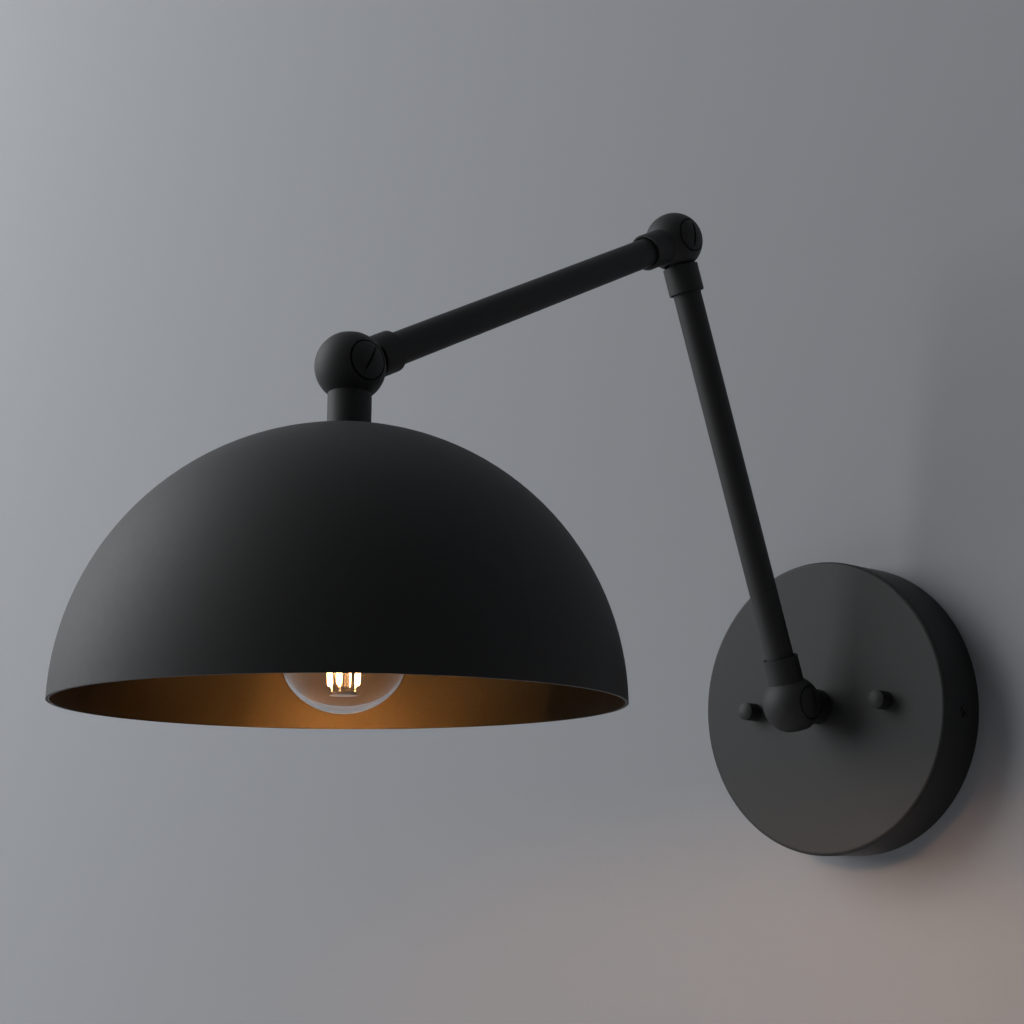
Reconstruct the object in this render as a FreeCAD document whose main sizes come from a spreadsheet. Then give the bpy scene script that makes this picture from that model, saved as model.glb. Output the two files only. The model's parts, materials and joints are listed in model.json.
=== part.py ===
import FreeCAD, Part

import math
import os

import Sketcher
from FreeCAD import Placement, Rotation, Vector

# Two-arm wall lamp: a round wall plate, two tube arms and a dome shade, joined by three
# friction ball knuckles.  Lengths are in millimetres and angles in degrees.
#
# Row frame: the wall is the plane Y = 0 and the room is on its -Y side.  +Z is up.
# The origin is the centre of the mounting bar, on the wall.
#
# Every turned piece is drawn as half an outline, (radius, height) along its own +Z axis,
# and is then laid along the arm or stub that it sits on.

SIZES = {
    # Knuckles.  Heights in a knuckle are measured from the centre of its ball.
    "ball_diameter": 24.5,
    "cavity_radius": 7.0,
    "cavity_floor": 7.0,
    "thrust_washer_thickness": 0.6,
    "barrel_length": 11.7,
    "cap_seat": 6.4,
    "cap_head_radius": 6.55,
    "cap_thread_length": 2.2,
    "cap_recess": 0.05,
    "mouth_radius": 7.15,
    "driver_slot_width": 1.0,
    "driver_slot_depth": 1.3,
    "driver_slot_tilt": 4.0,
    "shade_slot_tilt": -26.0,
    "spring_thickness": 0.45,
    "spring_hole_radius": 3.6,
    "stub_radius": 5.0,
    "wire_bore_radius": 3.25,
    "chamber_radius": 4.6,
    "chamber_half_width": 3.9,
    "slot_side_gap": 0.3,
    "slot_end_gap": 2.0,
    "collar_radius": 7.5,
    "collar_start": 11.0,
    "ball_clearance": 0.35,
    "neck_end": 20.5,
    "elbow_collar_end": 22.5,
    "shade_collar_end": 19.5,
    "nipple_seat": 10.5,
    "tube_seat": 15.0,
    "mouth_gap": 0.7,
    "mouth_depth": 1.2,
    "fit_gap": 0.05,
    # Arms.  A tube runs from the neck of one knuckle to the stub of the next.
    "lower_arm_length": 204.0,
    "upper_arm_length": 190.5,
    "lower_arm_lean": 19.0,
    "upper_arm_fall": 29.0,
    "tube_radius": 6.0,
    "tube_wall": 1.0,
    "nipple_grip": 9.0,
    "stub_grip": 8.0,
    # Travel of a knuckle, as the angle between its neck and its stub.
    "wall_folded": 90.0,
    "arm_folded": 70.0,
    "straight": 180.0,
    # Wall plate and what holds it.
    "plate_radius": 63.5,
    "plate_depth": 25.0,
    "plate_wall": 1.2,
    "plate_edge_radius": 1.5,
    "ball_standoff": 42.6,
    "bar_width": 22.0,
    "bar_thickness": 2.0,
    "box_screw_spacing": 88.9,
    "stud_inset": 9.525,
    "bar_end": 9.55,
    "box_slot_width": 4.8,
    "box_slot_length": 12.0,
    "bar_centre_hole_radius": 6.5,
    "stud_radius": 2.0,
    "stud_hole_radius": 2.3,
    "stud_reach": 5.0,
    "lock_nut_radius": 4.04,
    "lock_nut_height": 3.2,
    "cap_nut_radius": 3.9,
    "cap_nut_height": 8.0,
    "cap_nut_crown": 1.2,
    "earth_screw_offset": 16.0,
    "earth_head_radius": 3.8,
    "earth_head_height": 2.6,
    "rim_screw_depth": 12.0,
    "rim_screw_angle": -5.5,
    "rim_screw_inset": 1.5,
    "rim_socket_depth": 2.0,
    "rim_socket_radius": 1.15,
    "rim_screw_radius": 2.0,
    "rim_hole_radius": 3.0,
    "rim_boss_radius": 4.6,
    "rim_boss_length": 5.0,
    "stem_washer_radius": 9.0,
    "stem_washer_thickness": 1.0,
    "hex_nut_radius": 8.08,
    "hex_nut_height": 4.0,
    "thread_tail": 2.0,
    # Shade and lamp holder.  Heights run down from the centre of the shade's ball.
    "shade_radius": 92.5,
    "shade_wall": 1.0,
    "shade_top": 23.0,
    "dome_washer_radius": 8.0,
    "holder_radius": 14.0,
    "holder_wall": 1.6,
    "holder_crown": 2.5,
    "holder_cap_length": 17.2,
    "sleeve_drop": 10.7,
    "sleeve_radius": 12.2,
    "sleeve_bore_radius": 8.3,
    "sleeve_floor": 3.0,
    "sleeve_length": 33.0,
    "screw_shell_radius": 7.55,
    "screw_shell_wall": 0.35,
    "screw_shell_length": 20.0,
    "contact_radius": 2.6,
    "contact_thickness": 0.6,
    "contact_height": 1.8,
    "contact_clearance": 2.1,
    # Globe bulb.
    "globe_radius": 22.5,
    "bulb_length": 73.0,
    "glass_wall": 0.8,
    "glass_neck_radius": 6.5,
    "base_radius": 6.9,
    "base_wall": 0.3,
    "base_length": 19.0,
    "base_insulator_length": 4.0,
    "filament_radius": 0.9,
    "filament_length": 26.0,
    "filament_drop": 13.5,
    "cage_top_radius": 5.9,
    "cage_foot_radius": 4.6,
    "stem_tube_radius": 1.9,
    "cage_hub_radius": 4.6,
    "cage_hub_drop": 2.0,
    "cage_hub_thickness": 1.1,
    "support_wire_radius": 0.35,
    "support_wire_inset": 0.5,
    # Leads inside the arms.
    "lead_radius": 1.1,
    "lead_offset": 1.6,
    "lead_exit": 1.0,
    "lead_bend_radius": 7.0,
    "lead_tail": 20.0,
    "lead_spread_angle": 15.0,
}
FILAMENTS = 4
FIRST_FILAMENT = 45.0

document = FreeCAD.newDocument("WallLamp")
sheet = document.addObject("Spreadsheet::Sheet", "Sizes")


class Size:
    """A driving size or a formula of them: its value, and its text for an expression."""

    def __init__(self, text, value):
        self.text = text
        self.value = value

    @staticmethod
    def of(other):
        return other if isinstance(other, Size) else Size(repr(float(other)), float(other))

    def join(self, sign, other, value):
        return Size("(%s %s %s)" % (self.text, sign, Size.of(other).text), value)

    def __add__(self, other):
        return self.join("+", other, self.value + Size.of(other).value)

    def __sub__(self, other):
        return self.join("-", other, self.value - Size.of(other).value)

    def __mul__(self, other):
        return self.join("*", other, self.value * Size.of(other).value)

    def __truediv__(self, other):
        return self.join("/", other, self.value / Size.of(other).value)

    def __neg__(self):
        return Size("(0 - %s)" % self.text, -self.value)

    def __radd__(self, other):
        return Size.of(other) + self

    def __rsub__(self, other):
        return Size.of(other) - self


def leg(hypotenuse, other_leg):
    """The remaining side of a right-angled triangle."""
    square = hypotenuse * hypotenuse - other_leg * other_leg
    return Size("sqrt(%s)" % square.text, math.sqrt(square.value))


class Sheet:
    """Reads the spreadsheet's cells by their alias."""

    def __getattr__(self, alias):
        return Size("Sizes." + alias, float(sheet.get(alias)))


for row, (alias, number) in enumerate(SIZES.items(), start=1):
    sheet.set("A%d" % row, alias.replace("_", " "))
    sheet.set("B%d" % row, str(number))
    sheet.setAlias("B%d" % row, alias)
document.recompute()
size = Sheet()

ZERO = Size("0", 0.0)
nodes = []


# ---------------------------------------------------------------- building blocks

def bind(item, **formulas):
    """Ties properties of an object to formulas of the sheet."""
    for name, formula in formulas.items():
        item.setExpression(name, Size.of(formula).text)
    return item


def keep(item, label, placement=None):
    """Makes an object a sub-part of the lamp, under its own label."""
    item.Label = label
    if placement is not None:
        item.Placement = placement
    nodes.append(item)
    return item


def primitive(kind, name, placement=None, **formulas):
    item = document.addObject("Part::" + kind, name)
    bind(item, **formulas)
    if placement is not None:
        item.Placement = placement
    return item


def rod(name, radius, length, placement=None):
    return primitive("Cylinder", name, placement, Radius=radius, Height=length)


def cut(name, base, tool):
    item = document.addObject("Part::Cut", name)
    item.Base = base
    item.Tool = tool
    return item


def fused(name, pieces):
    item = document.addObject("Part::MultiFuse", name)
    item.Shapes = pieces
    return item


def together(name, pieces):
    item = document.addObject("Part::Compound", name)
    item.Links = pieces
    return item


def corner(radius, height):
    return ("corner", Size.of(radius), Size.of(height))


def arc(centre_height, centre_radius=ZERO):
    """The outline bends round this centre between the corners before and after it."""
    return ("arc", Size.of(centre_radius), Size.of(centre_height))


def origin_plane(body, role):
    return next(feature for feature in body.Origin.OriginFeatures if feature.Role == role)


def turned(name, outline):
    """A body of revolution about its own Z axis, from a closed half outline."""
    body = document.addObject("PartDesign::Body", name)
    sketch = body.newObject("Sketcher::SketchObject", name + "_outline")
    sketch.AttachmentSupport = [(origin_plane(body, "XZ_Plane"), "")]
    sketch.MapMode = "FlatFace"
    corners = [step for step in outline if step[0] == "corner"]
    bends = {}
    for place, step in enumerate(outline):
        if step[0] == "arc":
            bends[sum(1 for earlier in outline[:place] if earlier[0] == "corner") - 1] = step
    ends = [add_edge(sketch, corners[i], corners[(i + 1) % len(corners)], bends.get(i))
            for i in range(len(corners))]
    for i, (edge, start, finish) in enumerate(ends):
        following, next_start = ends[(i + 1) % len(ends)][:2]
        sketch.addConstraint(Sketcher.Constraint("Coincident", edge, finish, following, next_start))
    for i, (kind, radius, height) in enumerate(corners):
        edge, start = ends[i][:2]
        hold(sketch, edge, start, radius, height)
    for i, (kind, radius, height) in bends.items():
        hold_centre(sketch, ends[i][0], radius)
    revolution = body.newObject("PartDesign::Revolution", name + "_turning")
    revolution.Profile = sketch
    revolution.ReferenceAxis = (sketch, ["V_Axis"])
    revolution.Angle = 360.0
    body.Tip = revolution
    return body


def add_edge(sketch, first, last, bend):
    """Adds one edge, and says which of its ends is at the first corner."""
    a = Vector(first[1].value, first[2].value, 0)
    b = Vector(last[1].value, last[2].value, 0)
    if bend is None:
        return sketch.addGeometry(Part.LineSegment(a, b), False), 1, 2
    centre = Vector(bend[1].value, bend[2].value, 0)
    from_a, from_b = a - centre, b - centre
    start = math.atan2(from_a.y, from_a.x)
    finish = math.atan2(from_b.y, from_b.x)
    circle = Part.Circle(centre, Vector(0, 0, 1), from_a.Length)
    forward = (finish - start) % (2 * math.pi) <= math.pi
    if forward:
        return sketch.addGeometry(Part.ArcOfCircle(circle, start, finish), False), 1, 2
    return sketch.addGeometry(Part.ArcOfCircle(circle, finish, start), False), 2, 1


def hold(sketch, edge, end, radius, height):
    """Fixes one end of an edge by its radius and height, both tied to the sheet."""
    for kind, axis, formula in (("DistanceX", -2, radius), ("DistanceY", -1, height)):
        if formula is ZERO:
            sketch.addConstraint(Sketcher.Constraint("PointOnObject", edge, end, axis))
        else:
            index = sketch.addConstraint(
                Sketcher.Constraint(kind, -1, 1, edge, end, formula.value))
            sketch.setExpression("Constraints[%d]" % index, formula.text)


def hold_centre(sketch, edge, radius):
    if radius is ZERO:
        sketch.addConstraint(Sketcher.Constraint("PointOnObject", edge, 3, -2))
    else:
        index = sketch.addConstraint(
            Sketcher.Constraint("DistanceX", -1, 1, edge, 3, radius.value))
        sketch.setExpression("Constraints[%d]" % index, radius.text)


def ring(name, inner, outer, bottom, top):
    """A plain washer or tube between two heights."""
    return turned(name, [corner(inner, bottom), corner(outer, bottom),
                         corner(outer, top), corner(inner, top)])


def hex_nut(name, corner_radius, bore_radius, bottom, height):
    hexagon = primitive("Prism", name + "_hexagon", lifted(bottom),
                        Circumradius=corner_radius, Height=height)
    hexagon.Polygon = 6
    bore = rod(name + "_bore", bore_radius, height * 3, lifted(bottom - height))
    return cut(name, hexagon, bore)


def stadium(name, centre_distance, width, depth):
    """A bar with round ends along X, centred on the origin and rising along Z."""
    half = centre_distance.value / 2
    middle = primitive("Box", name + "_middle",
                       Placement(Vector(-half, -width.value / 2, 0), Rotation()),
                       Length=centre_distance, Width=width, Height=depth)
    ends = [rod(name + "_end", width / 2, depth, Placement(Vector(x, 0, 0), Rotation()))
            for x in (-half, half)]
    return fused(name, [middle] + ends)


# ---------------------------------------------------------------- placements

def lifted(height):
    return Placement(Vector(0, 0, Size.of(height).value), Rotation())


def swung(angle, centre=Vector()):
    """Turns +Z about X by an angle: 0 is up, 90 is straight out from the wall."""
    return Placement(centre, Rotation(Vector(1, 0, 0), angle))


def along_pivot(start_angle=0.0):
    """Lays +Z along the pivot axis, with +X at an angle in the plane of the arms."""
    turn = math.radians(start_angle)
    away = Vector(0, -math.sin(turn), math.cos(turn))
    pivot = Vector(1, 0, 0)
    return Placement(Vector(), Rotation(away, pivot.cross(away), pivot, "ZXY"))


def toward(angle):
    """The unit vector that swung(angle) gives to +Z."""
    return swung(angle).multVec(Vector(0, 0, 1))


OUT = 90.0
TO_WALL = OUT - 180.0
LOWER_ARM = size.lower_arm_lean.value
UPPER_ARM = 90.0 + size.upper_arm_fall.value
DOWN = 180.0

wall_ball = toward(OUT) * size.ball_standoff.value
elbow_ball = wall_ball + toward(LOWER_ARM) * size.lower_arm_length.value
shade_ball = elbow_ball + toward(UPPER_ARM) * size.upper_arm_length.value

ON_WALL = swung(OUT)


# ---------------------------------------------------------------- knuckle

ball_radius = size.ball_diameter / 2
stub_slot_radius = size.stub_radius + size.slot_side_gap
tube_bore_radius = size.tube_radius - size.tube_wall
barrel_start = size.thrust_washer_thickness + size.fit_gap - size.cavity_floor
barrel_end = barrel_start + size.barrel_length


def sweep_sector(name, radius, half_width, first, last):
    """The space that a radial rod sweeps between two angles about the pivot."""
    low, high = min(first, last), max(first, last)
    sector = primitive("Cylinder", name + "_sector", None,
                       Radius=radius, Height=half_width * 2)
    sector.Angle = high - low
    start = along_pivot(low)
    sector.Placement = Placement(Vector(-half_width.value, 0, 0), start.Rotation)
    ends = [rod(name + "_end", half_width, radius, swung(angle)) for angle in (low, high)]
    return fused(name, [sector] + ends)


def neck_outline(length, mouth):
    """Half outline of a ball with its neck, and of the bores that run up the neck."""
    steps = [corner(ZERO, -ball_radius), arc(ZERO),
             corner(size.collar_radius, leg(ball_radius, size.collar_radius)),
             corner(size.collar_radius, length)]
    if mouth:
        mouth_radius = size.tube_radius + size.mouth_gap
        steps += [corner(mouth_radius, length),
                  corner(mouth_radius, length - size.mouth_depth),
                  corner(size.tube_radius + size.fit_gap, length - size.mouth_depth),
                  corner(size.tube_radius + size.fit_gap, size.tube_seat),
                  corner(size.stub_radius + size.fit_gap, size.tube_seat)]
    else:
        steps += [corner(size.stub_radius + size.fit_gap, length)]
    return steps + [corner(size.stub_radius + size.fit_gap, size.nipple_seat),
                    corner(size.wire_bore_radius, size.nipple_seat),
                    corner(size.wire_bore_radius, ZERO), corner(ZERO, ZERO)]


def knuckle(name, neck_angle, stub_angle, folded, centre, neck_length, mouth, slot_tilt):
    """The outer half of a joint: ball with neck, thrust washer, spring and slotted cap."""
    here = swung(neck_angle, centre)
    turn = (stub_angle - neck_angle + 180.0) % 360.0 - 180.0
    side = math.copysign(1.0, turn)
    overlap = size.slot_end_gap.value
    ball = turned(name + "_turning", neck_outline(neck_length, mouth))
    cavity = rod(name + "_cavity", size.cavity_radius, size.cavity_floor + ball_radius,
                 Placement(Vector(-size.cavity_floor.value, 0, 0), along_pivot().Rotation))
    cap_step = size.cap_seat + size.cap_thread_length
    cap_mouth = rod(name + "_cap_mouth", size.mouth_radius, ball_radius,
                    Placement(Vector(cap_step.value, 0, 0), along_pivot().Rotation))
    slot = sweep_sector(name + "_slot", ball_radius * 1.2, stub_slot_radius,
                        side * (folded.value - overlap),
                        side * (size.straight.value + overlap))
    keep(cut(name, ball, fused(name + "_cuts", [cavity, cap_mouth, slot])), name, here)

    across = Placement(centre, along_pivot().Rotation)
    keep(ring(name + "_thrust_washer", size.spring_hole_radius,
              size.cavity_radius - size.fit_gap, -size.cavity_floor,
              size.thrust_washer_thickness - size.cavity_floor),
         name + "_thrust_washer", across)
    spring_low = barrel_end + size.fit_gap
    spring_high = size.cap_seat - size.spring_thickness
    spring_outer = size.cavity_radius - size.fit_gap
    keep(turned(name + "_spring",
                [corner(size.spring_hole_radius, spring_high),
                 corner(spring_outer, spring_low),
                 corner(spring_outer, spring_low + size.spring_thickness),
                 corner(size.spring_hole_radius, size.cap_seat)]),
         name + "_spring_washer", across)

    cap_radius = ball_radius - size.cap_recess
    thread_radius = size.cavity_radius - size.fit_gap
    cap = turned(name + "_cap_turning",
                 [corner(ZERO, size.cap_seat), corner(thread_radius, size.cap_seat),
                  corner(thread_radius, cap_step), corner(size.cap_head_radius, cap_step),
                  corner(size.cap_head_radius, leg(cap_radius, size.cap_head_radius)),
                  arc(ZERO), corner(ZERO, cap_radius)])
    driver_slot = primitive(
        "Box", name + "_driver_slot",
        Placement(Vector(0, 0, cap_radius.value - size.driver_slot_depth.value),
                  Rotation(Vector(0, 0, 1), slot_tilt)).multiply(
            Placement(Vector(-ball_radius.value, -size.driver_slot_width.value / 2, 0),
                      Rotation())),
        Length=ball_radius * 2, Width=size.driver_slot_width, Height=ball_radius)
    keep(cut(name + "_cap", cap, driver_slot), name + "_cap", across)


def rotor(name, stub_angle, neck_angle, folded, centre, stub_length):
    """The inner half of a joint: a hollow barrel on the pivot axis with its stub."""
    here = swung(stub_angle, centre)
    turn = (neck_angle - stub_angle + 180.0) % 360.0 - 180.0
    side = math.copysign(1.0, turn)
    barrel = rod(name + "_barrel", size.cavity_radius - size.fit_gap, size.barrel_length,
                 Placement(Vector(barrel_start.value, 0, 0), along_pivot().Rotation))
    stub = rod(name + "_stub", size.stub_radius, stub_length)
    bore = rod(name + "_bore", size.wire_bore_radius, stub_length + size.stub_radius)
    chamber = rod(name + "_chamber", size.chamber_radius, size.chamber_half_width * 2,
                  Placement(Vector(-size.chamber_half_width.value, 0, 0),
                            along_pivot().Rotation))
    window = sweep_sector(name + "_window", ball_radius, size.wire_bore_radius,
                          side * folded.value, side * size.straight.value)
    keep(cut(name, fused(name + "_solid", [barrel, stub]),
             fused(name + "_cuts", [bore, chamber, window])), name, here)


def collar(name, angle, centre, end, holds_tube):
    """The loose sleeve over a stub.  Its inner end is dished to clear the ball."""
    dish = ball_radius + size.ball_clearance
    bore = size.stub_radius + size.fit_gap
    steps = [corner(bore, leg(dish, bore)), arc(ZERO),
             corner(leg(dish, size.collar_start), size.collar_start),
             corner(size.collar_radius, size.collar_start),
             corner(size.collar_radius, end)]
    if holds_tube:
        mouth_radius = size.tube_radius + size.mouth_gap
        steps += [corner(mouth_radius, end), corner(mouth_radius, end - size.mouth_depth),
                  corner(size.tube_radius + size.fit_gap, end - size.mouth_depth),
                  corner(size.tube_radius + size.fit_gap, size.tube_seat),
                  corner(bore, size.tube_seat)]
    else:
        steps += [corner(bore, end)]
    keep(turned(name, steps), name, swung(angle, centre))


def arm(prefix, angle, start, length):
    """Tube, threaded nipple and leads between the neck at one ball and the next stub."""
    here = swung(angle, start)
    keep(ring(prefix + "_tube", tube_bore_radius, size.tube_radius,
              size.tube_seat + size.fit_gap, length - size.tube_seat - size.fit_gap),
         prefix + "_tube", here)
    keep(ring(prefix + "_tube_nipple", size.wire_bore_radius,
              size.stub_radius - size.fit_gap, size.nipple_seat + size.fit_gap,
              size.tube_seat + size.nipple_grip), prefix + "_tube_nipple", here)
    low = size.cavity_radius + size.mouth_depth
    keep(lead_pair(prefix + "_leads", low, length - size.chamber_radius), prefix + "_leads",
         here)


def lead_pair(name, bottom, top):
    wires = [rod(name + "_wire", size.lead_radius, top - bottom,
                 Placement(Vector(x, 0, bottom.value), Rotation()))
             for x in (-size.lead_offset.value, size.lead_offset.value)]
    return together(name, wires)


# ---------------------------------------------------------------- wall plate

plate_inner = size.plate_depth - size.plate_wall
stub_through_plate = (size.ball_standoff - plate_inner + size.stem_washer_thickness
                      + size.hex_nut_height + size.thread_tail)
stem_hole_radius = size.stub_radius + size.slot_side_gap


def wall_plate():
    """A spun pan, open to the wall, with a stem hole, two stud holes and a rim boss."""
    edge = size.plate_edge_radius
    inner_edge = edge - size.plate_wall
    inner_radius = size.plate_radius - size.plate_wall
    pan = turned("backplate_pan", [
        corner(stem_hole_radius, plate_inner),
        corner(inner_radius - inner_edge, plate_inner),
        arc(size.plate_depth - edge, size.plate_radius - edge),
        corner(inner_radius, size.plate_depth - edge),
        corner(inner_radius, ZERO), corner(size.plate_radius, ZERO),
        corner(size.plate_radius, size.plate_depth - edge),
        arc(size.plate_depth - edge, size.plate_radius - edge),
        corner(size.plate_radius - edge, size.plate_depth),
        corner(stem_hole_radius, size.plate_depth)])
    holes = [rod("backplate_stud_hole", size.stud_hole_radius, size.plate_depth * 2,
                 Placement(Vector(x, 0, 0), Rotation())) for x in stud_places()]
    sideways = Rotation(Vector(0, 1, 0), 90)
    inboard = size.plate_radius - size.plate_wall - size.rim_boss_length
    to_rim = Placement(Vector(0, 0, size.rim_screw_depth.value),
                       Rotation(Vector(0, 0, 1), size.rim_screw_angle.value) * sideways)
    rim_hole = rod("backplate_rim_hole", size.rim_hole_radius, size.rim_boss_length * 4,
                   to_rim.multiply(lifted(inboard)))
    keep(cut("backplate", pan, fused("backplate_holes", holes + [rim_hole])), "backplate",
         ON_WALL)

    # The rim boss is pressed into the rim's hole and is tapped for the rim screw.
    seat = leg(size.plate_radius, size.rim_hole_radius)
    face = leg(size.plate_radius - size.plate_wall, size.rim_boss_radius)
    boss = turned("rim_bush_turning", [
        corner(size.rim_screw_radius + size.fit_gap, inboard),
        corner(size.rim_boss_radius, inboard),
        corner(size.rim_boss_radius, face - size.fit_gap),
        corner(size.rim_hole_radius - size.fit_gap, face - size.fit_gap),
        corner(size.rim_hole_radius - size.fit_gap, seat - size.fit_gap),
        corner(size.rim_screw_radius + size.fit_gap, seat - size.fit_gap)])
    on_rim = ON_WALL.multiply(to_rim)
    keep(boss, "rim_bush", on_rim)
    point = inboard - size.thread_tail
    screw_end = seat - size.rim_screw_inset
    shank = rod("rim_screw_shank", size.rim_screw_radius, screw_end - point, lifted(point))
    socket = primitive("Prism", "rim_screw_socket", lifted(screw_end - size.rim_socket_depth),
                       Circumradius=size.rim_socket_radius, Height=size.rim_socket_depth * 2)
    socket.Polygon = 6
    keep(cut("rim_screw", shank, socket), "rim_screw", on_rim)


def stud_places():
    half = (size.box_screw_spacing / 2 - size.stud_inset).value
    return (-half, half)


def wall_hardware():
    """The bar that is screwed to the wall box, and the fixings of the plate and stem."""
    bar_length = size.box_screw_spacing + size.bar_end * 2
    bar = stadium("bar_blank", bar_length - size.bar_width, size.bar_width,
                  size.bar_thickness)
    through = size.bar_thickness * 3
    below = -size.bar_thickness.value
    holes = [rod("bar_centre_hole", size.bar_centre_hole_radius, through, lifted(below)),
             rod("bar_earth_hole", size.stud_radius + size.fit_gap, through,
                 Placement(Vector(size.earth_screw_offset.value, 0, below), Rotation()))]
    for x in stud_places():
        holes.append(rod("bar_stud_hole", size.stud_radius + size.fit_gap, through,
                         Placement(Vector(x, 0, below), Rotation())))
    for side in (-0.5, 0.5):
        slot = stadium("bar_box_slot", size.box_slot_length - size.box_slot_width,
                       size.box_slot_width, through)
        slot.Placement = Placement(
            Vector(side * size.box_screw_spacing.value, 0, below), Rotation())
        holes.append(slot)
    keep(cut("crossbar", bar, fused("bar_holes", holes)), "crossbar", ON_WALL)

    stud_end = size.plate_depth + size.stud_reach
    top = size.plate_depth + size.cap_nut_height
    crown_radius = ((size.cap_nut_radius * size.cap_nut_radius
                     + size.cap_nut_crown * size.cap_nut_crown) / size.cap_nut_crown / 2)
    studs, lock_nuts, cap_nuts = [], [], []
    for x in stud_places():
        aside = Placement(Vector(x, 0, 0), Rotation())
        studs.append(rod("stud", size.stud_radius, stud_end, aside))
        nut = hex_nut("stud_nut", size.lock_nut_radius, size.stud_radius + size.fit_gap,
                      size.bar_thickness, size.lock_nut_height)
        nut.Placement = aside
        lock_nuts.append(nut)
        cap = turned("cap_nut_turning", [
            corner(ZERO, stud_end + size.fit_gap),
            corner(size.stud_radius + size.fit_gap, stud_end + size.fit_gap),
            corner(size.stud_radius + size.fit_gap, size.plate_depth),
            corner(size.cap_nut_radius, size.plate_depth),
            corner(size.cap_nut_radius, top - size.cap_nut_crown),
            arc(top - crown_radius), corner(ZERO, top)])
        cap.Placement = aside
        cap_nuts.append(cap)
    keep(together("studs", studs), "mounting_studs", ON_WALL)
    keep(together("stud_nuts", lock_nuts), "stud_lock_nuts", ON_WALL)
    keep(together("cap_nuts", cap_nuts), "cap_nuts", ON_WALL)


def stem_hardware():
    """What holds the stem: the wall rotor's own stub passes through plate, washer and nut."""
    washer_top = plate_inner - size.fit_gap
    washer_bottom = washer_top - size.stem_washer_thickness
    keep(ring("stem_washer", size.stub_radius + size.fit_gap, size.stem_washer_radius,
              washer_bottom, washer_top), "stem_washer", ON_WALL)
    keep(hex_nut("stem_nut", size.hex_nut_radius, size.stub_radius + size.fit_gap,
                 washer_bottom - size.fit_gap - size.hex_nut_height, size.hex_nut_height),
         "stem_nut", ON_WALL)
    collar("stem_collar", TO_WALL, wall_ball,
           size.ball_standoff - size.plate_depth - size.fit_gap, False)

    head = size.bar_thickness + size.fit_gap
    slot_floor = head + size.earth_head_height / 2
    screw = turned("earth_screw_turning", [
        corner(ZERO, ZERO), corner(size.stud_radius, ZERO), corner(size.stud_radius, head),
        corner(size.earth_head_radius, head),
        corner(size.earth_head_radius, head + size.earth_head_height),
        corner(ZERO, head + size.earth_head_height)])
    slot = primitive("Box", "earth_screw_slot",
                     Placement(Vector(-size.earth_head_radius.value,
                                      -size.driver_slot_width.value / 2, slot_floor.value),
                               Rotation()),
                     Length=size.earth_head_radius * 2, Width=size.driver_slot_width,
                     Height=size.earth_head_height)
    keep(cut("earth_screw", screw, slot), "earth_screw", ON_WALL.multiply(
        Placement(Vector(size.earth_screw_offset.value, 0, 0), Rotation())))


def canopy_leads():
    """Two leads leave the stem and bend up behind the plate, where they end as free tails."""
    straight = (stub_through_plate + size.lead_exit - size.chamber_radius).value
    bend = size.lead_bend_radius.value
    leads = []
    for side in (-1, 1):
        start = Placement(Vector(side * size.lead_offset.value, 0, size.chamber_radius.value),
                          Rotation(Vector(0, 0, 1), side * size.lead_spread_angle.value))
        run = rod("canopy_lead_run", size.lead_radius,
                  stub_through_plate + size.lead_exit - size.chamber_radius, start)
        turn = primitive("Torus", "canopy_lead_bend", start.multiply(
            Placement(Vector(0, -bend, straight),
                      Rotation(Vector(0, 0, 1), Vector(0, 1, 0), Vector(-1, 0, 0), "ZXY"))),
                         Radius1=size.lead_bend_radius, Radius2=size.lead_radius)
        turn.Angle3 = 90.0
        tail = rod("canopy_lead_tail", size.lead_radius, size.lead_tail, start.multiply(
            Placement(Vector(0, -bend, straight + bend), Rotation(Vector(1, 0, 0), 90))))
        leads.append(fused("canopy_lead", [run, turn, tail]))
    keep(together("canopy_leads", leads), "canopy_leads", swung(TO_WALL, wall_ball))


# ---------------------------------------------------------------- shade and lamp holder

ON_SHADE = swung(DOWN, shade_ball)
rim_height = size.shade_top + size.shade_radius
dome_inner_radius = size.shade_radius - size.shade_wall


def shade_dome():
    """A spun hemisphere, open below, hung by its top on the knuckle's nipple."""
    keep(turned("shade_dome", [
        corner(size.stub_radius + size.slot_side_gap,
               rim_height - leg(size.shade_radius, size.stub_radius + size.slot_side_gap)),
        arc(rim_height), corner(size.shade_radius, rim_height),
        corner(dome_inner_radius, rim_height), arc(rim_height),
        corner(size.stub_radius + size.slot_side_gap,
               rim_height - leg(dome_inner_radius, size.stub_radius + size.slot_side_gap))]),
         "shade_dome", ON_SHADE)


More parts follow.
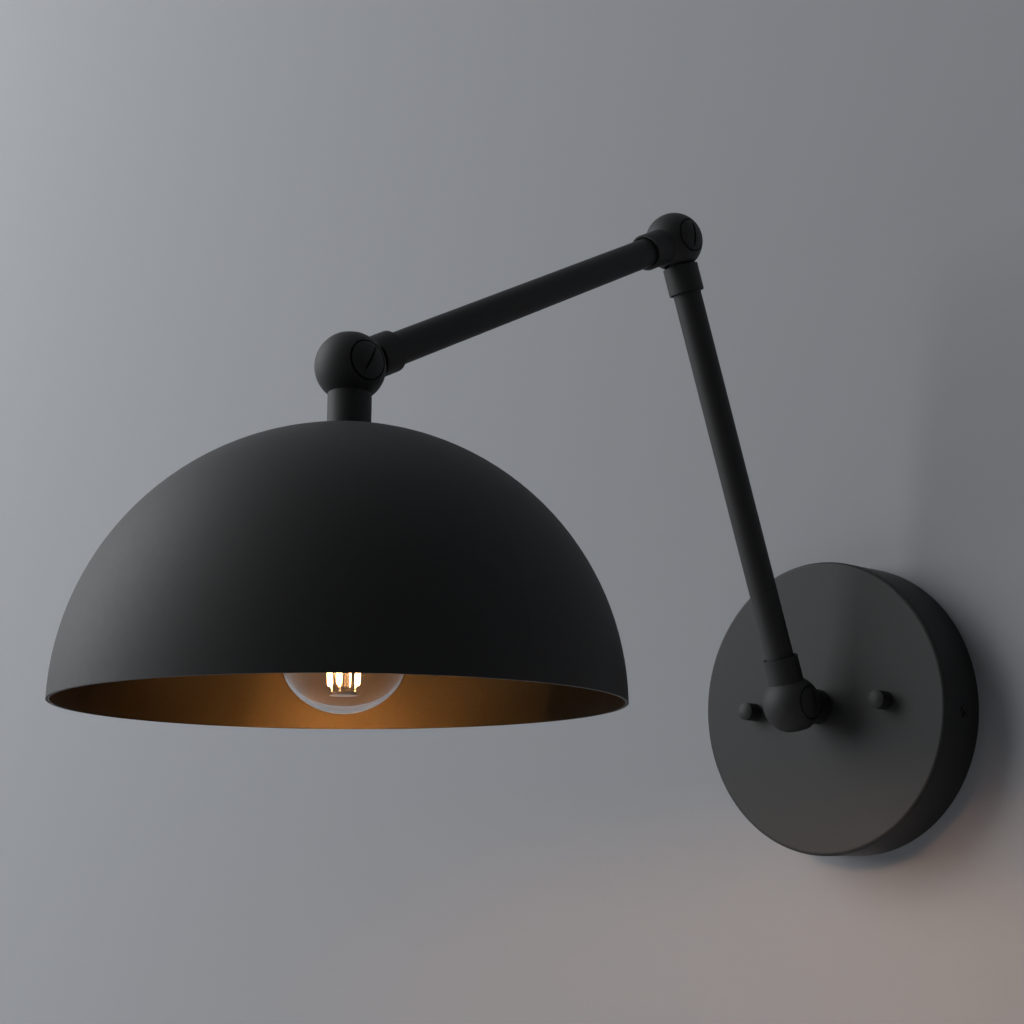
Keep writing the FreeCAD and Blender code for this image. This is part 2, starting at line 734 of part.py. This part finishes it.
def lamp_holder():
    """Nipple, washer, nut and the two-piece holder with its screw shell and contact."""
    bore = size.stub_radius + size.fit_gap
    washer_top = rim_height - leg(dome_inner_radius, size.dome_washer_radius) + size.fit_gap
    nut_top = washer_top + size.stem_washer_thickness + size.fit_gap
    cap_top = nut_top + size.hex_nut_height + size.fit_gap
    nipple_end = cap_top + size.holder_wall + size.thread_tail
    keep(ring("dome_washer", bore, size.dome_washer_radius, washer_top,
              washer_top + size.stem_washer_thickness), "dome_washer", ON_SHADE)
    keep(hex_nut("dome_nut", size.hex_nut_radius, bore, nut_top, size.hex_nut_height),
         "dome_nut", ON_SHADE)
    keep(ring("shade_nipple", size.wire_bore_radius, size.stub_radius - size.fit_gap,
              size.nipple_seat + size.fit_gap, nipple_end), "shade_nipple", ON_SHADE)

    floor_top = cap_top + size.sleeve_drop
    base_top = floor_top + size.sleeve_floor + size.contact_height
    cap_bottom = cap_top + size.holder_cap_length
    keep(turned("holder_cap", [
        corner(bore, cap_top), corner(size.holder_radius - size.holder_crown, cap_top),
        arc(cap_top + size.holder_crown, size.holder_radius - size.holder_crown),
        corner(size.holder_radius, cap_top + size.holder_crown),
        corner(size.holder_radius, cap_bottom),
        corner(size.holder_radius - size.holder_wall, cap_bottom),
        corner(size.holder_radius - size.holder_wall, cap_top + size.holder_wall),
        corner(bore, cap_top + size.holder_wall)]), "holder_cap", ON_SHADE)
    sleeve_end = floor_top + size.sleeve_length
    keep(turned("holder_sleeve", [
        corner(size.contact_radius, floor_top), corner(size.sleeve_radius, floor_top),
        corner(size.sleeve_radius, sleeve_end),
        corner(size.sleeve_bore_radius, sleeve_end),
        corner(size.sleeve_bore_radius, floor_top + size.sleeve_floor),
        corner(size.contact_radius, floor_top + size.sleeve_floor)]),
         "holder_sleeve", ON_SHADE)
    shell_top = floor_top + size.sleeve_floor
    shell_outer = size.sleeve_bore_radius - size.fit_gap
    keep(turned("holder_screw_shell", [
        corner(size.screw_shell_radius, shell_top + size.screw_shell_wall),
        corner(size.contact_radius + size.contact_clearance,
               shell_top + size.screw_shell_wall),
        corner(size.contact_radius + size.contact_clearance, shell_top + size.fit_gap),
        corner(shell_outer, shell_top + size.fit_gap),
        corner(shell_outer, shell_top + size.screw_shell_length),
        corner(size.screw_shell_radius, shell_top + size.screw_shell_length)]),
         "holder_screw_shell", ON_SHADE)
    keep(turned("holder_contact", [
        corner(ZERO, floor_top + size.fit_gap),
        corner(size.contact_radius - size.fit_gap, floor_top + size.fit_gap),
        corner(size.contact_radius - size.fit_gap, base_top - size.fit_gap),
        corner(ZERO, base_top - size.fit_gap)]), "holder_contact", ON_SHADE)
    keep(lead_pair("holder_leads", size.cavity_radius + size.mouth_depth,
                   floor_top - size.fit_gap), "holder_leads", ON_SHADE)
    return base_top


def globe_bulb(base_top):
    """A clear globe on a small screw base, with straight filaments on a glass stem."""
    centre = base_top + size.bulb_length - size.globe_radius
    base_end = base_top + size.base_length + size.base_insulator_length
    neck = size.glass_neck_radius
    rise = centre - base_end
    bend = ((neck * neck + rise * rise - size.globe_radius * size.globe_radius)
            / (size.globe_radius - neck) / 2)
    reach = size.globe_radius + bend
    join_radius = (neck + bend) * size.globe_radius / reach
    join_height = centre - rise * size.globe_radius / reach
    inner = size.globe_radius - size.glass_wall
    inner_join_radius = (neck + bend) * inner / reach
    inner_join_height = centre - rise * inner / reach
    cuff = base_end - size.base_length / 4
    keep(turned("bulb_glass", [
        corner(ZERO, centre + size.globe_radius), arc(centre),
        corner(join_radius, join_height), arc(base_end, neck + bend),
        corner(neck, base_end), corner(neck, cuff),
        corner(neck - size.glass_wall, cuff), corner(neck - size.glass_wall, base_end),
        arc(base_end, neck + bend), corner(inner_join_radius, inner_join_height),
        arc(centre), corner(ZERO, centre + inner)]), "bulb_glass", ON_SHADE)

    shell_top = base_top + size.base_insulator_length
    keep(ring("bulb_base_shell", size.base_radius - size.base_wall, size.base_radius,
              shell_top, base_end), "bulb_base_shell", ON_SHADE)
    keep(turned("bulb_base_insulator", [
        corner(size.contact_radius / 2, base_top + size.contact_thickness),
        corner(size.contact_radius, base_top + size.contact_thickness),
        corner(size.base_radius - size.base_wall * 2, shell_top),
        corner(size.base_radius - size.base_wall * 2, shell_top + size.base_wall * 5),
        corner(size.contact_radius / 2, shell_top + size.base_wall * 5)]),
         "bulb_base_insulator", ON_SHADE)
    keep(turned("bulb_contact", [
        corner(ZERO, base_top), corner(size.contact_radius, base_top),
        corner(size.contact_radius, base_top + size.contact_thickness - size.fit_gap),
        corner(size.contact_radius / 2 - size.fit_gap,
               base_top + size.contact_thickness - size.fit_gap),
        corner(size.contact_radius / 2 - size.fit_gap, shell_top),
        corner(ZERO, shell_top)]), "bulb_contact", ON_SHADE)

    foot = centre + size.filament_drop
    head = foot - size.filament_length
    hub_top = foot + size.cage_hub_drop
    hub = hub_top + size.cage_hub_thickness
    flare = neck - size.glass_wall - size.fit_gap
    keep(turned("bulb_stem", [
        corner(ZERO, cuff), corner(flare, cuff), corner(flare, cuff + size.glass_wall),
        corner(size.stem_tube_radius, cuff + size.glass_wall * 4),
        corner(size.stem_tube_radius, hub), corner(ZERO, hub)]), "bulb_stem", ON_SHADE)
    keep(ring("bulb_cage_hub", size.stem_tube_radius + size.fit_gap, size.cage_hub_radius,
              hub_top, hub), "bulb_cage_hub", ON_SHADE)
    filaments, wires = [], []
    wire_top = foot + size.fit_gap * 2
    wire_at = size.cage_hub_radius - size.support_wire_inset
    lean = math.degrees(math.atan2(size.cage_top_radius.value - size.cage_foot_radius.value,
                                   size.filament_length.value))
    for place in range(FILAMENTS):
        spin = Rotation(Vector(0, 0, 1), FIRST_FILAMENT + place * 360.0 / FILAMENTS)
        at_foot = Placement(spin.multVec(Vector(size.cage_foot_radius.value, 0, foot.value)),
                            spin.multiply(Rotation(Vector(0, 1, 0), 180 + lean)))
        filaments.append(rod("filament", size.filament_radius, size.filament_length, at_foot))
        wires.append(rod("support_wire", size.support_wire_radius,
                         hub_top - size.fit_gap - wire_top,
                         Placement(spin.multVec(Vector(wire_at.value, 0, wire_top.value)),
                                   Rotation())))
    keep(together("filaments", filaments), "bulb_filaments", ON_SHADE)
    keep(together("support_wires", wires), "bulb_support_wires", ON_SHADE)


# ---------------------------------------------------------------- assembly

back_down_lower = LOWER_ARM + 180.0
back_up_upper = UPPER_ARM - 180.0

wall_plate()
wall_hardware()
stem_hardware()
rotor("wall_rotor", TO_WALL, LOWER_ARM, size.wall_folded, wall_ball,
      stub_through_plate)
canopy_leads()

knuckle("wall_knuckle", LOWER_ARM, TO_WALL, size.wall_folded, wall_ball, size.neck_end,
        True, size.driver_slot_tilt.value)
arm("lower", LOWER_ARM, wall_ball, size.lower_arm_length)
rotor("elbow_rotor", back_down_lower, UPPER_ARM, size.arm_folded, elbow_ball,
      size.tube_seat + size.stub_grip)
collar("elbow_collar", back_down_lower, elbow_ball, size.elbow_collar_end, True)

knuckle("elbow_knuckle", UPPER_ARM, back_down_lower, size.arm_folded, elbow_ball,
        size.neck_end, True, size.driver_slot_tilt.value)
arm("upper", UPPER_ARM, elbow_ball, size.upper_arm_length)
rotor("shade_rotor", back_up_upper, DOWN, size.arm_folded, shade_ball,
      size.tube_seat + size.stub_grip)
collar("shade_collar", back_up_upper, shade_ball, size.shade_collar_end, True)

knuckle("shade_knuckle", DOWN, back_up_upper, size.arm_folded, shade_ball,
        size.shade_top, False, size.shade_slot_tilt.value)
shade_dome()
globe_bulb(lamp_holder())

document.recompute()
failed = [item.Label for item in document.Objects
          if "Invalid" in item.State or "Error" in item.State]
failed += [item.Label for item in nodes if item.Shape.isNull() or not item.Shape.isValid()]
if failed:
    raise RuntimeError("these did not build: " + ", ".join(sorted(set(failed))))

os.makedirs("parts", exist_ok=True)
for item in nodes:
    item.Shape.exportStep(os.path.join("parts", item.Label + ".step"))
    print("%-24s solids %d  volume %10.1f" % (
        item.Label, len(item.Shape.Solids), item.Shape.Volume))
print("nodes", len(nodes))
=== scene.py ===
import json
import math

import bmesh
import bpy
from mathutils import Matrix, Vector

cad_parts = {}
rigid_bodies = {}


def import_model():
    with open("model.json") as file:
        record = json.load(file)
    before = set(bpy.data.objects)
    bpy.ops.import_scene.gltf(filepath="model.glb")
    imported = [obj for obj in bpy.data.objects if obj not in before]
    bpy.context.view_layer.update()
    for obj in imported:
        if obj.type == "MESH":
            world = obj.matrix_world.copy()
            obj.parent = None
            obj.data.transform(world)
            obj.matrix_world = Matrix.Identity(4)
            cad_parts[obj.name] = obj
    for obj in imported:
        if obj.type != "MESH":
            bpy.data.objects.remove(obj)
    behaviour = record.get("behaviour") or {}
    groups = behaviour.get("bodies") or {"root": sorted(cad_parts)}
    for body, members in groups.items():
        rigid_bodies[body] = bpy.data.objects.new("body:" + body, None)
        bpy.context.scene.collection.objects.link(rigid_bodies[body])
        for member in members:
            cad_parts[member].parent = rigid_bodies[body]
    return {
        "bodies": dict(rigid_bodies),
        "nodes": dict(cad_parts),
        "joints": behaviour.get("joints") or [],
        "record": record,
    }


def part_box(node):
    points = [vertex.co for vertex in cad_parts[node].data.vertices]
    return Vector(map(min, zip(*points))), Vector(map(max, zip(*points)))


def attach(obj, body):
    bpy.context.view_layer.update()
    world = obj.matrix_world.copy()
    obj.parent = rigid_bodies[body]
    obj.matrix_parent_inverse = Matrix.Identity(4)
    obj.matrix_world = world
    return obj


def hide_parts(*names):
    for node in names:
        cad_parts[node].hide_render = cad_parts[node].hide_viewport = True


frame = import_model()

# Everything is in metres, in the row frame: the wall is Y = 0, the room is on its -Y
# side, +Z is up, and the origin is the centre of the mounting bar on the wall.

MM = 0.001
scene = bpy.context.scene
nodes = frame["nodes"]
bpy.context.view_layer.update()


# ---------------------------------------------------------------- places in the frame

joint_places = {joint["name"]: Vector(joint["pos_m"]) for joint in frame["joints"]}
shade_ball = joint_places["shade_pivot"]
dome_low, dome_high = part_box("shade_dome")
dome_radius = (dome_high.x - dome_low.x) / 2
rim_centre = Vector((0, shade_ball.y, dome_low.z))
filaments_low, filaments_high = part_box("bulb_filaments")


# ---------------------------------------------------------------- node-tree helpers

NOISE_BAND = (0.3, 0.7)         # where nearly all of a noise's values lie
SPECKLE_BAND = (0.35, 0.65)     # narrower, for a harder change between two colours


class Nodes:
    """A node tree, with short calls for the nodes that are used here."""

    def __init__(self, node_tree):
        self.nodes = node_tree.nodes
        self.links = node_tree.links

    def add(self, kind, **settings):
        node = self.nodes.new("ShaderNode" + kind)
        for key, value in settings.items():
            setattr(node, key, value)
        return node

    def link(self, source, target):
        self.links.new(source, target)

    def put(self, socket, value):
        """Sets a socket to a number, or links it to another node's output."""
        if isinstance(value, bpy.types.NodeSocket):
            self.link(value, socket)
        else:
            socket.default_value = value

    def remap(self, value, band, low, high):
        """Spreads the values in a band over the range from low to high."""
        node = self.add("MapRange")
        self.link(value, node.inputs["Value"])
        for key, number in (("From Min", band[0]), ("From Max", band[1]),
                            ("To Min", low), ("To Max", high)):
            node.inputs[key].default_value = number
        return node.outputs["Result"]

    def math(self, operation, first, second):
        node = self.add("Math", operation=operation)
        self.put(node.inputs[0], first)
        self.put(node.inputs[1], second)
        return node.outputs[0]

    def mix_shaders(self, share, first, second):
        node = self.add("MixShader")
        self.link(share, node.inputs["Fac"])
        self.link(first.outputs[0], node.inputs[1])
        self.link(second.outputs[0], node.inputs[2])
        return node.outputs[0]


class Tree(Nodes):
    """A material's node tree, around its one surface shader."""

    def __init__(self, name):
        self.material = bpy.data.materials.new(name)
        self.material.use_nodes = True
        super().__init__(self.material.node_tree)
        self.shader = self.nodes["Principled BSDF"]
        self.output = self.nodes["Material Output"]

    def place(self):
        """Coordinates fixed to the piece, in metres, that move with its body."""
        return self.add("TexCoord").outputs["Object"]

    def noise(self, size, detail=3.0, roughness=0.5):
        """Noise whose features are about this size, in metres."""
        node = self.add("TexNoise")
        self.link(self.place(), node.inputs["Vector"])
        node.inputs["Scale"].default_value = 1.0 / size
        node.inputs["Detail"].default_value = detail
        node.inputs["Roughness"].default_value = roughness
        return node.outputs["Fac"]

    def blend(self, share, first, second):
        """Mixes two colours."""
        node = self.add("Mix", data_type="RGBA")
        self.put(node.inputs[0], share)
        colours = [socket for socket in node.inputs if socket.type == "RGBA"]
        self.put(colours[0], rgba(first))
        self.put(colours[1], rgba(second))
        return next(socket for socket in node.outputs if socket.type == "RGBA")

    def bump(self, height, distance, strength, onto=None):
        node = self.add("Bump")
        self.put(node.inputs["Height"], height)
        node.inputs["Distance"].default_value = distance
        node.inputs["Strength"].default_value = strength
        if onto is not None:
            self.link(onto, node.inputs["Normal"])
        return node.outputs["Normal"]

    def set(self, **sockets):
        """Sets or links the shader's own sockets, by name."""
        for name, value in sockets.items():
            self.put(self.shader.inputs[name.replace("_", " ")], value)

    def clear_where(self, share):
        """Lets everything through where share is 1, and shows the surface elsewhere."""
        mixed = self.mix_shaders(share, self.shader, self.add("BsdfTransparent"))
        self.link(mixed, self.output.inputs["Surface"])


def rgba(colour):
    if isinstance(colour, bpy.types.NodeSocket) or len(colour) == 4:
        return colour
    return (*colour, 1.0)


# ---------------------------------------------------------------- materials

COAT_BLACK = (0.0120, 0.0120, 0.0122)
COAT_PALER = (0.0160, 0.0160, 0.0163)
COAT_ROUGHNESS = (0.608, 0.632)
INSIDE_GOLD = (0.058, 0.040, 0.0200)
INSIDE_GOLD_DARK = (0.046, 0.031, 0.0145)
INSIDE_SMOOTHER_BY = 0.27
COAT_CHANGE_DEPTH = 0.72 * MM       # the two coats of the dome meet this far below its face
COAT_CHANGE_HALF_WIDTH = 0.05 * MM
METAL_DARK_SHARE = 0.72
GLASS_IOR = 1.47


def coat_texture(tree):
    """Orange peel and fine grain of a matte powder coat."""
    peel = tree.bump(tree.noise(1.4 * MM, detail=2.0), distance=0.02 * MM, strength=0.5)
    return tree.bump(tree.noise(0.25 * MM, detail=2.0), distance=0.010 * MM, strength=0.8,
                     onto=peel)


def speckle(tree, size, first, second):
    share = tree.remap(tree.noise(size), SPECKLE_BAND, 0.0, 1.0)
    return tree.blend(share, first, second)


def coat_black(tree):
    return speckle(tree, 0.5 * MM, COAT_BLACK, COAT_PALER)


def coat_roughness(tree):
    return tree.remap(tree.noise(2.5 * MM), NOISE_BAND, *COAT_ROUGHNESS)


def black_coat():
    tree = Tree("black_coat")
    tree.set(Base_Color=coat_black(tree), Metallic=0.0, Roughness=coat_roughness(tree),
             Specular_IOR_Level=0.5, Normal=coat_texture(tree))
    return tree.material


def shade_coat():
    """Black outside and satin gold paint inside, told apart by the distance to the centre."""
    tree = Tree("shade_coat")
    from_centre = tree.add("VectorMath", operation="DISTANCE")
    tree.link(tree.place(), from_centre.inputs[0])
    from_centre.inputs[1].default_value = rim_centre
    middle = dome_radius - COAT_CHANGE_DEPTH
    band = (middle - COAT_CHANGE_HALF_WIDTH, middle + COAT_CHANGE_HALF_WIDTH)
    inside = tree.remap(from_centre.outputs["Value"], band, 1.0, 0.0)
    gold = speckle(tree, 0.6 * MM, INSIDE_GOLD_DARK, INSIDE_GOLD)
    smoother = tree.math("MULTIPLY", inside, INSIDE_SMOOTHER_BY)
    tree.set(Base_Color=tree.blend(inside, coat_black(tree), gold),
             Metallic=inside,
             Roughness=tree.math("SUBTRACT", coat_roughness(tree), smoother),
             Normal=coat_texture(tree))
    return tree.material


def metal(name, colour, roughness, metallic=1.0):
    """Plated or bare metal, with cloudy darker places and a fine grain."""
    tree = Tree(name)
    grain = 0.35 * MM
    clouds = tree.noise(grain * 12, detail=5.0, roughness=0.6)
    deep = tuple(part * METAL_DARK_SHARE for part in colour)
    tree.set(Base_Color=tree.blend(tree.remap(clouds, NOISE_BAND, 0.0, 1.0), deep, colour),
             Metallic=metallic,
             Roughness=tree.remap(clouds, NOISE_BAND, roughness * 0.8, roughness * 1.25),
             Normal=tree.bump(tree.noise(grain), distance=0.008 * MM, strength=0.7))
    return tree.material


def plastic(name, colour, roughness):
    """A moulded or drawn surface, a little uneven in colour and gloss."""
    tree = Tree(name)
    pale = tuple(min(1.0, part * 1.25 + 0.004) for part in colour)
    tree.set(Base_Color=tree.blend(tree.noise(6 * MM), colour, pale),
             Roughness=tree.remap(tree.noise(2 * MM), NOISE_BAND,
                                  roughness * 0.9, roughness * 1.15),
             Normal=tree.bump(tree.noise(0.4 * MM, detail=2.0), distance=0.01 * MM,
                              strength=0.5))
    return tree.material


def clear_glass():
    """Thin blown glass that lets the lamp's own light through without dark shadows."""
    tree = Tree("clear_glass")
    tree.set(Base_Color=(1, 1, 1, 1), IOR=GLASS_IOR, Transmission_Weight=1.0,
             Roughness=tree.remap(tree.noise(12 * MM, detail=2.0), NOISE_BAND, 0.0, 0.015),
             Normal=tree.bump(tree.noise(9 * MM, detail=1.0), distance=0.05 * MM,
                              strength=0.25))
    tree.clear_where(tree.add("LightPath").outputs["Is Shadow Ray"])
    return tree.material


def glowing(name, colour, strength):
    """A lit strip, a little uneven where its chips sit under the coat."""
    tree = Tree(name)
    chips = tree.noise(1.1 * MM, detail=2.0)
    tree.set(Base_Color=rgba(colour), Roughness=0.6, Emission_Color=rgba(colour),
             Emission_Strength=tree.remap(chips, NOISE_BAND, strength * 0.8, strength * 1.2))
    return tree.material


materials = {
    "black_coat": black_coat(),
    "zinc_steel": metal("zinc_steel", (0.62, 0.61, 0.57), 0.36),
    "spring_steel": metal("spring_steel", (0.40, 0.41, 0.44), 0.30),
    "friction_fibre": plastic("friction_fibre", (0.36, 0.19, 0.10), 0.75),
    "earth_green": metal("earth_green", (0.05, 0.30, 0.12), 0.40, metallic=0.6),
    "lead_sleeve": plastic("lead_sleeve", (0.72, 0.71, 0.67), 0.50),
    "holder_plastic": plastic("holder_plastic", (0.022, 0.021, 0.020), 0.42),
    "contact_brass": metal("contact_brass", (0.80, 0.60, 0.26), 0.30),
    "clear_glass": clear_glass(),
    "base_aluminium": metal("base_aluminium", (0.80, 0.80, 0.80), 0.25),
    "base_glass_black": plastic("base_glass_black", (0.012, 0.012, 0.016), 0.12),
    "cage_metal": metal("cage_metal", (0.83, 0.80, 0.74), 0.18),
    "filament_glow": glowing("filament_glow", (1.0, 0.56, 0.24), 170.0),
}


def finish_cad_nodes():
    """Gives each CAD node the finish of its slot, and the dome its two-sided coat."""
    for entry in frame["record"]["subparts"]:
        node = nodes[entry["node"]]
        node.data.materials.clear()
        node.data.materials.append(materials[entry["material_slot"]])
    dome = nodes["shade_dome"]
    dome.data.materials.clear()
    dome.data.materials.append(shade_coat())


# ---------------------------------------------------------------- the lit filaments

FILAMENTS = 4
FIRST_FILAMENT_DEGREES = 36.5       # spreads the four evenly, as the photograph shows them
FILAMENT_RADIUS = 0.9 * MM
FILAMENT_END_GAP = 0.1 * MM
SUPPORT_RADIUS = 0.32 * MM
SUPPORT_INSET = 0.5 * MM
CAGE_FOOT_RADIUS = 4.6 * MM
CAGE_TOP_RADIUS = 5.9 * MM
SIDES = 20

# How the end of a filament rounds off: the place from its tip and the radius there, both
# as shares of the filament's radius.
ROUNDED_END = ((0.0, 0.35), (0.10, 0.62), (0.35, 0.86), (0.8, 1.0))


def turned(name, runs, profile, slot, node):
    """Round pieces along straight runs, from pairs of a place on the run and a radius."""
    mesh = bmesh.new()
    for start, end in runs:
        along = end - start
        turn = along.to_track_quat("Z", "Y")
        rings = []
        for place, radius in profile(along.length):
            ring = []
            for side in range(SIDES):
                angle = 2 * math.pi * side / SIDES
                ring.append(mesh.verts.new(start + turn @ Vector(
                    (radius * math.cos(angle), radius * math.sin(angle), place))))
            rings.append(ring)
        for first, second in zip(rings, rings[1:]):
            for side in range(SIDES):
                after = (side + 1) % SIDES
                mesh.faces.new((first[side], first[after], second[after], second[side]))
        mesh.faces.new(list(reversed(rings[0])))
        mesh.faces.new(rings[-1])
    for face in mesh.faces:
        face.smooth = len(face.verts) == 4
    data = bpy.data.meshes.new(name)
    mesh.to_mesh(data)
    mesh.free()
    data.materials.append(materials[slot])
    piece = bpy.data.objects.new(name, data)
    scene.collection.objects.link(piece)
    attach(piece, "shade")
    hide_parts(node)


def filament_profile(length):
    """A coated strip of chips with rounded ends."""
    end = [(place * FILAMENT_RADIUS, share * FILAMENT_RADIUS)
           for place, share in ROUNDED_END]
    return end + [(length - place, radius) for place, radius in reversed(end)]


def wire_profile(length):
    return [(0.0, SUPPORT_RADIUS), (length, SUPPORT_RADIUS)]


def make_filaments():
    """The filaments and the wires under them, leaning out in a ring round the stem."""
    wires_low, wires_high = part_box("bulb_support_wires")
    strips, wires = [], []

    def point(out, radius, height):
        return Vector((0, shade_ball.y, 0)) + out * radius + Vector((0, 0, height))

    for number in range(FILAMENTS):
        angle = math.radians(FIRST_FILAMENT_DEGREES + 360.0 / FILAMENTS * number)
        out = Vector((math.cos(angle), math.sin(angle), 0))
        strips.append((point(out, CAGE_FOOT_RADIUS, filaments_low.z + FILAMENT_END_GAP),
                       point(out, CAGE_TOP_RADIUS, filaments_high.z - FILAMENT_END_GAP)))
        wires.append((point(out, CAGE_FOOT_RADIUS - SUPPORT_INSET, wires_low.z),
                      point(out, CAGE_FOOT_RADIUS - SUPPORT_INSET, wires_high.z)))
    turned("lit_filaments", strips, filament_profile, "filament_glow", "bulb_filaments")
    turned("filament_supports", wires, wire_profile, "cage_metal", "bulb_support_wires")


# ---------------------------------------------------------------- camera

CAMERA_PLACE = Vector((0.400929, -0.557189, -0.061704))
CAMERA_YAW = 0.845916
CAMERA_PITCH = 0.224503
CAMERA_ROLL = -0.003874
CAMERA_LENS_MM = 52.52
SENSOR_MM = 36.0
NEAREST_SEEN = 0.02
FARTHEST_SEEN = 30.0


def aim_camera():
    """The photograph's viewpoint, below the shade and to the right of the arm."""
    data = bpy.data.cameras.new("camera")
    data.sensor_width = SENSOR_MM
    data.lens = CAMERA_LENS_MM
    data.clip_start = NEAREST_SEEN
    data.clip_end = FARTHEST_SEEN
    camera = bpy.data.objects.new("camera", data)
    scene.collection.objects.link(camera)
    right = Vector((math.cos(CAMERA_YAW), math.sin(CAMERA_YAW), 0))
    level = math.cos(CAMERA_PITCH)
    ahead = Vector((-math.sin(CAMERA_YAW) * level, math.cos(CAMERA_YAW) * level,
                    math.sin(CAMERA_PITCH)))
    up = right.cross(ahead)
    axes = Matrix((right, up, -ahead)).transposed().to_4x4()
    camera.matrix_world = (Matrix.Translation(CAMERA_PLACE) @ axes
                           @ Matrix.Rotation(CAMERA_ROLL, 4, "Z"))
    scene.camera = camera


# ---------------------------------------------------------------- the set

FLOOR_HEIGHT = -0.60
SET_HALF_WIDTH = 4.0
WALL_GAP = 0.2 * MM
FLOOR_COLOUR = (0.60, 0.61, 0.63)
WALL_COLOUR = (0.430, 0.440, 0.462)
SET_ROUGHNESS = 0.9


def set_piece(name, corners, material):
    mesh = bpy.data.meshes.new(name)
    mesh.from_pydata(corners, [], [(0, 1, 2, 3)])
    mesh.materials.append(material)
    piece = bpy.data.objects.new(name, mesh)
    scene.collection.objects.link(piece)
    return piece


def build_set():
    """A pale floor, and the wall behind the lamp, which is seen only from the room."""
    wide, low, back = SET_HALF_WIDTH, FLOOR_HEIGHT, WALL_GAP
    floor = Tree("studio_floor")
    floor.set(Base_Color=rgba(FLOOR_COLOUR), Roughness=SET_ROUGHNESS)
    wall = Tree("studio_wall")
    wall.set(Base_Color=rgba(WALL_COLOUR), Roughness=SET_ROUGHNESS,
             Normal=wall.bump(wall.noise(3 * MM), distance=0.05 * MM, strength=0.4))
    wall.clear_where(wall.math("MAXIMUM", wall.add("NewGeometry").outputs["Backfacing"],
                               wall.add("LightPath").outputs["Is Shadow Ray"]))
    return [set_piece("studio_floor", [(-wide, -wide, low), (wide, -wide, low),
                                       (wide, wide, low), (-wide, wide, low)],
                      floor.material),
            set_piece("studio_wall", [(-wide, back, low), (wide, back, low),
                                      (wide, back, wide), (-wide, back, wide)],
                      wall.material)]


# ---------------------------------------------------------------- light

LIGHT_TARGET = (0, -0.15, 0.05)
BEHIND_PLATE = ("backplate", "rim_bush", "rim_screw", "crossbar", "mounting_studs",
                "stud_lock_nuts", "stem_washer", "stem_nut", "earth_screw", "wall_rotor",
                "canopy_leads")
AMBIENT_COLOUR = (0.80, 0.83, 0.88)
AMBIENT_STRENGTH = 0.02
SURROUNDINGS_COLOUR = (0.94, 0.97, 1.0)
SURROUNDINGS_LEFT = 0.50
SURROUNDINGS_RIGHT = 0.03


def add_lamp(name, kind, place, power, colour):
    """A lamp that the camera doesn't see."""
    data = bpy.data.lights.new(name, kind)
    data.energy = power
    data.color = colour
    lamp = bpy.data.objects.new(name, data)
    lamp.location = place
    lamp.visible_camera = False
    scene.collection.objects.link(lamp)
    return lamp


def soft_light(name, place, width, power, colour=(1, 1, 1)):
    """A square soft light, turned to the lamp."""
    lamp = add_lamp(name, "AREA", place, power, colour)
    lamp.data.shape = "RECTANGLE"
    lamp.data.size = width
    lamp.data.size_y = width
    ahead = Vector(LIGHT_TARGET) - Vector(place)
    lamp.rotation_euler = ahead.to_track_quat("-Z", "Y").to_euler()
    return lamp


def light_only(lamp, name, pieces):
    """Keeps a lamp's light to these pieces."""
    lit = bpy.data.collections.new(name)
    for piece in pieces:
        lit.objects.link(piece)
    lamp.light_linking.receiver_collection = lit


def light_the_set(stage_pieces):
    """A large soft key from the left, as in the photograph, and weak light elsewhere."""
    soft_light("key", (-1.95, -1.75, 1.15), width=2.4, power=54.0, colour=(0.96, 0.98, 1.0))
    soft_light("fill", (1.4, -1.5, 0.3), width=1.2, power=0.1, colour=(0.95, 0.97, 1.0))
    behind_plate = [nodes[name] for name in BEHIND_PLATE]
    back = soft_light("back", (-0.7, 1.5, 0.1), width=1.0, power=10.0)
    light_only(back, "behind_plate", behind_plate)

    # The lit bulb's warm light on the wall and the plate, over what the filaments give.
    glow = add_lamp("bulb_glow", "POINT", (filaments_low + filaments_high) / 2, power=1.35,
                    colour=(1.0, 0.60, 0.34))
    glow.data.shadow_soft_size = 18 * MM
    glow.parent = frame["bodies"]["shade"]
    light_only(glow, "lit_by_the_bulb", behind_plate + stage_pieces)


def surround():
    """Dim light all round, and grey surroundings, paler at the left, that are only seen."""
    world = bpy.data.worlds.new("studio")
    world.use_nodes = True
    tree = Nodes(world.node_tree)
    ambient = tree.nodes["Background"]
    ambient.inputs["Color"].default_value = rgba(AMBIENT_COLOUR)
    ambient.inputs["Strength"].default_value = AMBIENT_STRENGTH
    towards = tree.add("SeparateXYZ")
    tree.link(tree.add("TexCoord").outputs["Generated"], towards.inputs[0])
    seen = tree.add("Background")
    seen.inputs["Color"].default_value = rgba(SURROUNDINGS_COLOUR)
    tree.link(tree.remap(towards.outputs["X"], (-1.0, 1.0), SURROUNDINGS_LEFT,
                         SURROUNDINGS_RIGHT), seen.inputs["Strength"])
    path = tree.add("LightPath")
    shown = path.outputs["Is Camera Ray"]
    for ray in ("Is Glossy Ray", "Is Transmission Ray"):
        shown = tree.math("MAXIMUM", shown, path.outputs[ray])
    tree.link(tree.mix_shaders(shown, ambient, seen),
              tree.nodes["World Output"].inputs["Surface"])
    scene.world = world


finish_cad_nodes()
make_filaments()
aim_camera()
light_the_set(build_set())
surround()
scene.view_settings.view_transform = "Standard"
